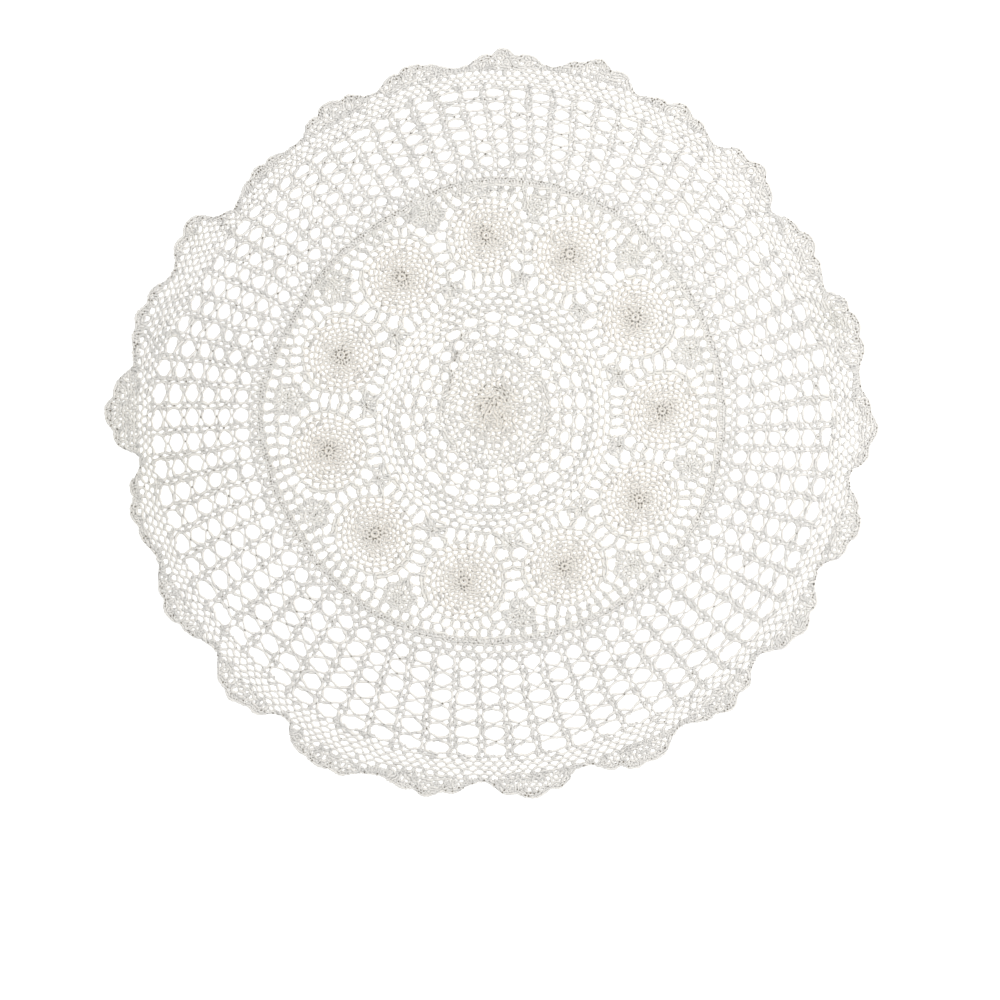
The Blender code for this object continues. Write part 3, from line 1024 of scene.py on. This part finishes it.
def open_net(lace):
    """Large pointed holes, two small ones between rounds, and more in the bands of the columns."""
    seams = np.arange(NET_COLUMNS, dtype=float)
    middles = seams + 0.5
    broad = np.cos(np.radians(column_angle(seams) - BROAD_SIDE)) > BROAD_FROM
    for row in range(NET_ROWS):
        angle = column_angle(middles, row)
        across = column_width(row, middles) - toward_broad_side(BAND_WIDTH, angle)
        out = row_step(angle) - toward_broad_side(ROW_APART, angle)
        lace.long_holes(in_net(row, middles), angle + 90, across, out, NET_TIP)
        for at in BROAD_PLACES:
            lace.holes(in_net(row + at, seams[broad]), BROAD_HOLE)
        heading = column_angle(seams[~broad], row)
        for at in NARROW_PLACES:
            lace.long_holes(in_net(row + at, seams[~broad]), heading, *NARROW_HOLE)
        if row == 0:
            continue
        off = np.where(broad, *BETWEEN_ASIDE)
        for side in (-1, 1):
            lace.holes(in_net(row - 0.5, middles + side * off), np.where(broad, *BETWEEN_HOLE))
        # Dark gaps at some of the knots, as painted shade, more of them on the left
        for columns, at in ((middles, -0.5), (seams, -0.5), (seams, 0.0)):
            share = shaded(NET_SHADE, column_angle(columns, row))
            lace.some_pinholes(in_net(row + at, columns), share, NET_PINS)


def edging(lace):
    for step in range(EDGING_ROUNDS):
        columns = every(EDGING_CELLS * NET_COLUMNS, step % 2 / 2, NET_COLUMNS)
        angle = column_angle(columns, NET_ROWS)
        distance = net_distance(NET_ROWS - 0.5, angle) + step * EDGING_STEP
        rim = outer_edge(angle) - rim_depth(angle)
        below = distance < np.minimum(rim - EDGING_BELOW_RIM, fan_floor(angle))
        lace.long_holes(polar(angle, distance)[below], angle[below] + 90, *EDGING_CELL)
        share = EDGING_PINS * shaded(NET_SHADE, angle[below])
        lace.some_pinholes(polar(angle, distance + EDGING_STEP / 2)[below], share, NET_PINS)


def scallop_work(lace):
    for step in range(FAN_ROUNDS):
        columns = every(FAN_CELLS * NET_COLUMNS, step % 2 / 2, NET_COLUMNS)
        angle = column_angle(columns, NET_ROWS)
        distance = fan_floor(angle) + FAN_START + step * FAN_STEP
        _, off = on_scallop(angle)
        rim = outer_edge(angle) - rim_depth(angle)
        inside = (distance < rim - FAN_BELOW_RIM) & (np.abs(off) < FAN_HALF)
        spots = lace.holes(polar(angle, distance)[inside], FAN_HOLE, FREE_JITTER)
        lace.some_pinholes(spots, FAN_PINS, CLOSE_PINS)


def firm_rim(lace):
    """Two rounds of pinholes on the lobes and one in the notches, evenly spaced along the edge."""
    fine = np.linspace(0, NET_COLUMNS, RIM_STEPS)
    lengths = lengths_along(in_rim(0.5, fine))
    count = round(lengths[-1] / RIM_SPACING)
    for row in RIM_ROWS:
        columns = np.interp(every(count, row.shift, lengths[-1]), lengths, fine)
        if row is RIM_ROWS[0]:
            columns = columns[rim_depth(column_angle(columns)) > RIM_WIDE]
        spots = lace.holes(in_rim(row.share, columns), row.radius, FIRM_JITTER)
        lace.some_pinholes(spots, RIM_PINS, NET_PINS)
    columns = np.interp(every(count, 0.0, lengths[-1]), lengths, fine)
    lace.edge(in_rim(1.0, columns) + polar(column_angle(columns), RIM_CIRCLE), RIM_CIRCLE)


def make_border():
    lace = Lace("border_lace")
    firm_ring(lace)
    lead_into_net(lace)
    open_net(lace)
    edging(lace)
    scallop_work(lace)
    firm_rim(lace)
    lace.slits(slits_along(PLEAT.line, PLEAT_SLITS), FOLD_SLIT_WIDTH)
    return lace


# ---- materials


def linear(hex_colour):
    """An sRGB hex colour as linear RGBA."""
    values = [int(hex_colour[i : i + 2], 16) / 255 for i in (1, 3, 5)]
    return (*(v / 12.92 if v <= 0.04045 else ((v + 0.055) / 1.055) ** 2.4 for v in values), 1.0)


def put(node, settings):
    """Sets a node's properties, or its inputs by name or number."""
    for name, value in settings.items():
        if isinstance(name, str) and hasattr(node, name):
            setattr(node, name, value)
        else:
            node.inputs[name].default_value = value


def add(tree, kind, settings=None, links=None):
    """Adds a node with its settings and links. A node as a source gives its first output."""
    node = tree.nodes.new(kind)
    put(node, settings or {})
    for name, source in (links or {}).items():
        tree.links.new(getattr(source, "outputs", [source])[0], node.inputs[name])
    return node


# Noise patterns by how many cells go to a metre: patches of 38 mm and spots of 6 mm in the tone,
# and bends and lumps of the thread every 2.4 mm and 1.25 mm
PATCHES = 26.0
SPOTS = 160.0
BENDS = 420.0
LUMPS = 800.0
# The thread is twisted of three plies that turn once in 3 mm, and stand up by 0.15 mm
PLIES = 3
TWIST = 3.0
PLY_HEIGHT = 0.15
# Light goes this far through it, in mm
LIGHT_REACH = 1.2


def new_material(name):
    """A material, its tree and its shader."""
    material = bpy.data.materials.new(name)
    material.use_nodes = True
    return material, material.node_tree, material.node_tree.nodes["Principled BSDF"]


def cotton(name, colour, aged_and_shaded, aged_share):
    """Mercerised crochet cotton: soft and bright, with the fine slanting ply of twisted thread
    and a slightly yellower, greyer tone in patches, as from handling and storage. Over the left of
    the border the same tone is painted shade: the side away from the lamp is drawn darker."""
    material, tree, shader = new_material(name)
    place = add(tree, "ShaderNodeTexCoord").outputs["Object"]
    # The yellowing, with the painted shade over the left of the border, comes from the mesh
    yellowing_and_shade = add(tree, "ShaderNodeAttribute", {"attribute_name": "yellowing_and_shade"}).outputs["Fac"]
    clouds = add(tree, "ShaderNodeTexNoise", {"Scale": PATCHES, "Detail": 2.0}, {"Vector": place})
    span = {"From Min": 0.35, "From Max": 0.7, "To Min": 0.0, "To Max": aged_share}
    cloud = add(tree, "ShaderNodeMapRange", span, {"Value": clouds})
    clamped = {"operation": "ADD", "use_clamp": True}
    tone = add(tree, "ShaderNodeMath", clamped, {0: cloud, 1: yellowing_and_shade})
    colours = {"data_type": "RGBA", 6: linear(colour), 7: linear(aged_and_shaded)}
    mix = add(tree, "ShaderNodeMix", colours, {0: tone})
    tree.links.new(mix.outputs[2], shader.inputs["Base Color"])
    # The plies wind round the thread, which gives it a faint slanting grain
    along = add(tree, "ShaderNodeAttribute", {"attribute_name": "along"}).outputs["Fac"]
    side = add(tree, "ShaderNodeAttribute", {"attribute_name": "side"}).outputs["Vector"]
    parts = add(tree, "ShaderNodeSeparateXYZ", None, {0: side}).outputs
    angle = add(tree, "ShaderNodeMath", {"operation": "ARCTAN2"}, {0: parts[1], 1: parts[0]})
    turned = add(tree, "ShaderNodeMath", {"operation": "MULTIPLY", 1: PLIES}, {0: angle})
    winding = 2 * math.pi * PLIES / (TWIST * MM)
    wound = add(tree, "ShaderNodeMath", {"operation": "MULTIPLY", 1: winding}, {0: along})
    phase = add(tree, "ShaderNodeMath", {"operation": "ADD"}, {0: turned, 1: wound})
    ply = add(tree, "ShaderNodeMath", {"operation": "SINE"}, {0: phase})
    raised = {"Strength": 0.5, "Distance": PLY_HEIGHT * MM}
    bump = add(tree, "ShaderNodeBump", raised, {"Height": ply})
    tree.links.new(bump.outputs["Normal"], shader.inputs["Normal"])
    # Light goes a little way through the thread, so its edges look soft, and the fibres' down
    # catches some of it at a slant
    put(shader, {"Subsurface Weight": 0.5, "Subsurface Scale": LIGHT_REACH * MM})
    put(shader, {"Subsurface Radius": (1.0, 1.0, 1.0), "Roughness": 0.62})
    put(shader, {"Sheen Weight": 0.25, "Sheen Roughness": 0.5})
    return material


def deep_shade():
    """Painted shade at the bottom of a gap between tight stitches: a dull brown-grey that
    stands for the shade where hardly any light comes back.
    """
    material, tree, shader = new_material("painted_gap_shade")
    place = add(tree, "ShaderNodeTexCoord").outputs["Object"]
    clouds = add(tree, "ShaderNodeTexNoise", {"Scale": SPOTS}, {"Vector": place})
    colours = {"data_type": "RGBA", 6: linear("#5d564c"), 7: linear("#a59c8d")}
    mix = add(tree, "ShaderNodeMix", colours, {0: clouds})
    tree.links.new(mix.outputs[2], shader.inputs["Base Color"])
    put(shader, {"Roughness": 1.0, "Specular IOR Level": 0.0})
    return material


# ---- from lines to thread

# How far the thread wanders, how much it swells, and the height of a pinhole by its width
TREE_INPUTS = (
    ("Sides", "NodeSocketInt", THREAD_SIDES),
    ("Wander", "NodeSocketFloat", 0.22 * MM),
    ("Thickening", "NodeSocketFloat", 0.28),
    ("Flatness", "NodeSocketFloat", FLATNESS),
    ("Pinhole Flatness", "NodeSocketFloat", 0.12),
)


def thread_tree(name, cotton_material, shade_material):
    """Geometry Nodes: lines become round thread, loose points become pinholes of painted shade."""
    tree = bpy.data.node_groups.new(name, "GeometryNodeTree")
    tree.interface.new_socket("Geometry", in_out="INPUT", socket_type="NodeSocketGeometry")
    for label, kind, value in TREE_INPUTS:
        tree.interface.new_socket(label, in_out="INPUT", socket_type=kind).default_value = value
    tree.interface.new_socket("Geometry", in_out="OUTPUT", socket_type="NodeSocketGeometry")
    start = add(tree, "NodeGroupInput")
    given = start.outputs
    named = "GeometryNodeInputNamedAttribute"
    store = "GeometryNodeStoreNamedAttribute"
    pinned, width, stretch, turn = (
        add(tree, named, {"data_type": "FLOAT", "Name": label})
        for label in ("pinhole", "thread", "stretch", "turn")
    )
    above = {"data_type": "FLOAT", "operation": "GREATER_THAN", 1: 0.0}
    is_pin = add(tree, "FunctionNodeCompare", above, {0: pinned})
    choice = {"Geometry": start, "Selection": is_pin}
    apart = add(tree, "GeometryNodeSeparateGeometry", {"domain": "POINT"}, choice)
    lines = add(tree, "GeometryNodeMeshToCurve", None, {"Mesh": apart.outputs["Inverted"]})
    kind = {"spline_type": "CATMULL_ROM"}
    smooth = add(tree, "GeometryNodeCurveSplineType", kind, {"Curve": lines})
    even = add(tree, "GeometryNodeSetSplineResolution", {"Resolution": 1}, {0: smooth})
    # The thread wanders a little and swells and thins along its way
    bends = add(tree, "ShaderNodeTexNoise", {"Scale": BENDS, "Detail": 0.0}).outputs["Color"]
    less_half = {"operation": "SUBTRACT", 1: (0.5, 0.5, 0.5)}
    centred = add(tree, "ShaderNodeVectorMath", less_half, {0: bends})
    amount = {0: centred, "Scale": given["Wander"]}
    wander = add(tree, "ShaderNodeVectorMath", {"operation": "SCALE"}, amount)
    moved = add(tree, "GeometryNodeSetPosition", None, {"Geometry": even, "Offset": wander})
    lumps = add(tree, "ShaderNodeTexNoise", {"Scale": LUMPS, "Detail": 0.0})
    span = {"From Min": 0.3, "From Max": 0.7, "To Min": -1.0, "To Max": 1.0}
    lump = add(tree, "ShaderNodeMapRange", span, {"Value": lumps})
    amount = {0: lump, 1: given["Thickening"]}
    swell = add(tree, "ShaderNodeMath", {"operation": "MULTIPLY"}, amount)
    factor = add(tree, "ShaderNodeMath", {"operation": "ADD", 1: 1.0}, {0: swell})
    radius = add(tree, "ShaderNodeMath", {"operation": "MULTIPLY"}, {0: width, 1: factor})
    thick = add(tree, "GeometryNodeSetCurveRadius", None, {"Curve": moved, "Radius": radius})
    level = add(tree, "GeometryNodeSetCurveNormal", {"mode": "Z_UP"}, {0: thick})
    length = add(tree, "GeometryNodeSplineParameter").outputs["Length"]
    along = {"data_type": "FLOAT", "domain": "POINT", "Name": "along"}
    measured = add(tree, store, along, {"Geometry": level, "Value": length})
    # The profile is a circle pressed flat, which the tree remembers as the side of the thread
    unit = {"mode": "RADIUS", "Radius": 1.0}
    profile = add(tree, "GeometryNodeCurvePrimitiveCircle", unit, {"Resolution": given["Sides"]})
    spot = add(tree, "GeometryNodeInputPosition")
    squash = add(tree, "ShaderNodeCombineXYZ", {0: 1.0, 2: 1.0}, {1: given["Flatness"]})
    pressed = add(tree, "GeometryNodeTransform", None, {"Geometry": profile, "Scale": squash})
    side = {"data_type": "FLOAT_VECTOR", "domain": "POINT", "Name": "side"}
    sided = add(tree, store, side, {"Geometry": pressed, "Value": spot})
    swept = {"Curve": measured, "Profile Curve": sided, "Scale": radius}
    tube = add(tree, "GeometryNodeCurveToMesh", {"Fill Caps": True}, swept)
    # Every loose point becomes a flat ball, long one way, which takes the painted shade material
    ball = add(tree, "GeometryNodeMeshIcoSphere", {"Radius": 1.0, "Subdivisions": 1})
    turned = add(tree, "ShaderNodeCombineXYZ", None, {2: turn})
    rotation = add(tree, "FunctionNodeEulerToRotation", None, {0: turned})
    shape = {0: stretch, 2: given["Pinhole Flatness"]}
    flat = add(tree, "ShaderNodeCombineXYZ", {1: 1.0}, shape)
    amount = {0: flat, "Scale": pinned}
    sized = add(tree, "ShaderNodeVectorMath", {"operation": "SCALE"}, amount)
    placed = {"Points": apart, "Instance": ball, "Rotation": rotation, "Scale": sized}
    dots = add(tree, "GeometryNodeInstanceOnPoints", None, placed)
    mark = {"data_type": "BOOLEAN", "domain": "INSTANCE", "Name": "shaded", "Value": True}
    dark = add(tree, store, mark, {"Geometry": dots})
    joined = add(tree, "GeometryNodeJoinGeometry", None, {"Geometry": dark})
    tree.links.new(tube.outputs["Mesh"], joined.inputs["Geometry"])
    rounded = add(tree, "GeometryNodeSetShadeSmooth", None, {"Geometry": joined})
    real = add(tree, "GeometryNodeRealizeInstances", None, {"Geometry": rounded})
    thread = {"Material": cotton_material}
    all_cotton = add(tree, "GeometryNodeSetMaterial", thread, {"Geometry": real})
    is_shaded = add(tree, named, {"data_type": "BOOLEAN", "Name": "shaded"})
    chosen = {"Geometry": all_cotton, "Selection": is_shaded}
    with_shade = add(tree, "GeometryNodeSetMaterial", {"Material": shade_material}, chosen)
    add(tree, "NodeGroupOutput", None, {"Geometry": with_shade})
    return tree


# Where the cotton has yellowed: most in the dense middles, and in a few faint places of the border.
# The broad patch at the left, at 188 degrees, is painted shade.
YellowingAndShade = namedtuple("YellowingAndShade", "middle reach most")
YELLOWING_AND_SHADE = (
    YellowingAndShade(ROSETTE_MIDDLE, 30.0, 0.6),
    YellowingAndShade(polar(15.0, 352.0), 16.0, 0.5),
    YellowingAndShade(polar(149.0, 345.0), 12.0, 0.4),
    # Painted shade: the left of the border is drawn greyer and darker, on the side away from the lamp
    YellowingAndShade(polar(188.0, 350.0), 95.0, 0.35),
    *(YellowingAndShade(polar(wheel.angle, wheel.distance), 13.0, 0.3) for wheel in WHEELS),
)


def yellowing_and_shade_at(points):
    """How yellowed the cotton is at each point, together with the painted shade over the left of the
    border.
    """
    yellowing_and_shade = np.zeros(len(points))
    for spot in YELLOWING_AND_SHADE:
        off = far(points - spot.middle) / spot.reach
        yellowing_and_shade = np.maximum(yellowing_and_shade, spot.most * np.exp(-off * off))
    return yellowing_and_shade


def as_mesh(name, points, edges, pins):
    """Edges for the runs of thread, loose points for the pinholes, with what the tree reads."""
    used, edges = np.unique(edges, return_inverse=True)
    edges = edges.reshape(-1, 2)
    rows = points[used]
    spots = np.concatenate([rows[:, :2], pins[:, :2]])
    pinhole, stretch, turn = np.concatenate([np.zeros((len(rows), 3)), pins[:, 2:5]]).T
    thread = np.concatenate([rows[:, 2], np.zeros(len(pins))])
    height = np.concatenate([rows[:, 2] * FLATNESS * LIFT, pins[:, 5]]) + relief(spots)
    mesh = bpy.data.meshes.new(name)
    mesh.vertices.add(len(spots))
    mesh.edges.add(len(edges))
    mesh.vertices.foreach_set("co", (np.column_stack([uneven(spots), height]) * MM).ravel())
    mesh.edges.foreach_set("vertices", edges.ravel())
    for label, values in (
        ("thread", thread * MM),
        ("pinhole", pinhole * MM),
        ("stretch", stretch),
        ("turn", turn),
        ("yellowing_and_shade", yellowing_and_shade_at(spots)),
    ):
        kept = mesh.attributes.new(label, "FLOAT", "POINT")
        kept.data.foreach_set("value", values.astype(np.float32))
    return mesh


def spin_thread(name, points, edges, pins, cotton_material, shade_material):
    """The piece's lines made into a plain mesh of thread."""
    drawn = bpy.data.objects.new(name + "_lines", as_mesh(name, points, edges, pins))
    bpy.context.scene.collection.objects.link(drawn)
    modifier = drawn.modifiers.new("thread", "NODES")
    modifier.node_group = thread_tree(name + "_thread", cotton_material, shade_material)
    bpy.context.view_layer.update()
    graph = bpy.context.evaluated_depsgraph_get()
    mesh = bpy.data.meshes.new_from_object(drawn.evaluated_get(graph), depsgraph=graph)
    mesh.name = name
    drawn.modifiers.clear()
    bpy.data.objects.remove(drawn)
    piece = bpy.data.objects.new(name, mesh)
    bpy.context.scene.collection.objects.link(piece)
    return piece


def declare(piece, node):
    """The piece, a sheet of lace laid flat, takes the place of its solid, which is hidden, and hangs
    under the root.
    """
    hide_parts(node)
    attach(piece, "root")


shade_material = deep_shade()
medallion_cotton = cotton("medallion_crochet_cotton", "#f0ede7", "#e9e2d7", 0.2)
wheel_cotton = cotton("wheel_crochet_cotton", "#ede9e2", "#e8e0d5", 0.25)
mesh_cotton = cotton("joining_crochet_cotton", "#f0ede7", "#e8e3d8", 0.2)
# The border's aged colour also serves as the painted shade over its left side
border_cotton = cotton("border_crochet_cotton", "#eeebe6", "#dbd8ce", 0.12)


def work(lace, node, material):
    piece = spin_thread(lace.name, *lace.runs(), lace.pins_on_thread(), material, shade_material)
    declare(piece, node)


work(make_medallion(), "centre_medallion", medallion_cotton)
for index, wheel in enumerate(WHEELS, start=1):
    work(make_wheel(index, wheel), f"wheel_{index:02d}", wheel_cotton)
work(make_joining_mesh(), "joining_mesh", mesh_cotton)

# The border is one lace, spun as quarters so that each mesh stays small
QUARTERS = 4
border = make_border()
points, edges = border.runs()
pins = border.pins_on_thread()


def quarter_of(spots):
    """The number of the quarter that each point lies in."""
    angle = np.degrees(np.arctan2(spots[:, 1], spots[:, 0])) % FULL_TURN
    return (angle * QUARTERS / FULL_TURN).astype(int)


for quarter in range(QUARTERS):
    part = edges[quarter_of(points[edges, :2].mean(axis=1)) == quarter]
    part_pins = pins[quarter_of(pins[:, :2]) == quarter]
    name = f"border_lace_{quarter + 1}"
    piece = spin_thread(name, points, part, part_pins, border_cotton, shade_material)
    declare(piece, "border")

# ---- floor, light and camera

# In metres and watts. The floor lies a hair below the lace, so that the two share no plane, and
# glows a little, so that it shows as white as the backdrop of the photo.
FLOOR_HALF = 12.0
FLOOR_DROP = 0.0002
FLOOR_GLOW = 0.36
SKY_STRENGTH = 0.77
LAMP_POWER = 20.0
LAMP_SIDE = 1.2
LAMP_PLACE = (1.1, 0.5, 1.6)
LAMP_TILT = (-17.0, 34.0, 0.0)
SENSOR = 36.0
CAMERA_PLACE = (0.007, -0.088, 2.2)

floor_mesh = bpy.data.meshes.new("pale_floor")
floor_corners = [(x * FLOOR_HALF, y * FLOOR_HALF, 0) for x, y in ((-1, -1), (1, -1), (1, 1), (-1, 1))]
floor_mesh.from_pydata(floor_corners, [], [(0, 1, 2, 3)])
floor = bpy.data.objects.new("pale_floor", floor_mesh)
floor.location.z = -FLOOR_DROP
bpy.context.scene.collection.objects.link(floor)
# Matt paint, which shows no gleam of the lamp
floor_paint, _, floor_shader = new_material("matt_white_floor")
put(floor_shader, {"Base Color": linear("#fbfbfa"), "Roughness": 1.0, "Specular IOR Level": 0.0})
put(floor_shader, {"Emission Color": linear("#ffffff"), "Emission Strength": FLOOR_GLOW})
floor_mesh.materials.append(floor_paint)

scene = bpy.context.scene
scene.view_settings.view_transform = "Standard"
world = bpy.data.worlds.new("soft_studio")
scene.world = world
world.use_nodes = True
put(world.node_tree.nodes["Background"], {"Color": linear("#ffffff"), "Strength": SKY_STRENGTH})

lamp_data = bpy.data.lights.new("overhead_softbox", "AREA")
lamp_data.energy = LAMP_POWER
lamp_data.shape = "RECTANGLE"
lamp_data.size = LAMP_SIDE
lamp_data.size_y = LAMP_SIDE
lamp = bpy.data.objects.new("overhead_softbox", lamp_data)
lamp.location = LAMP_PLACE
lamp.rotation_euler = np.radians(LAMP_TILT)
scene.collection.objects.link(lamp)

# The lens takes in one metre at the height of the floor
camera_data = bpy.data.cameras.new("camera")
camera_data.sensor_width = SENSOR
camera_data.lens = SENSOR * CAMERA_PLACE[2]
camera = bpy.data.objects.new("camera", camera_data)
camera.location = CAMERA_PLACE
scene.collection.objects.link(camera)
scene.camera = camera
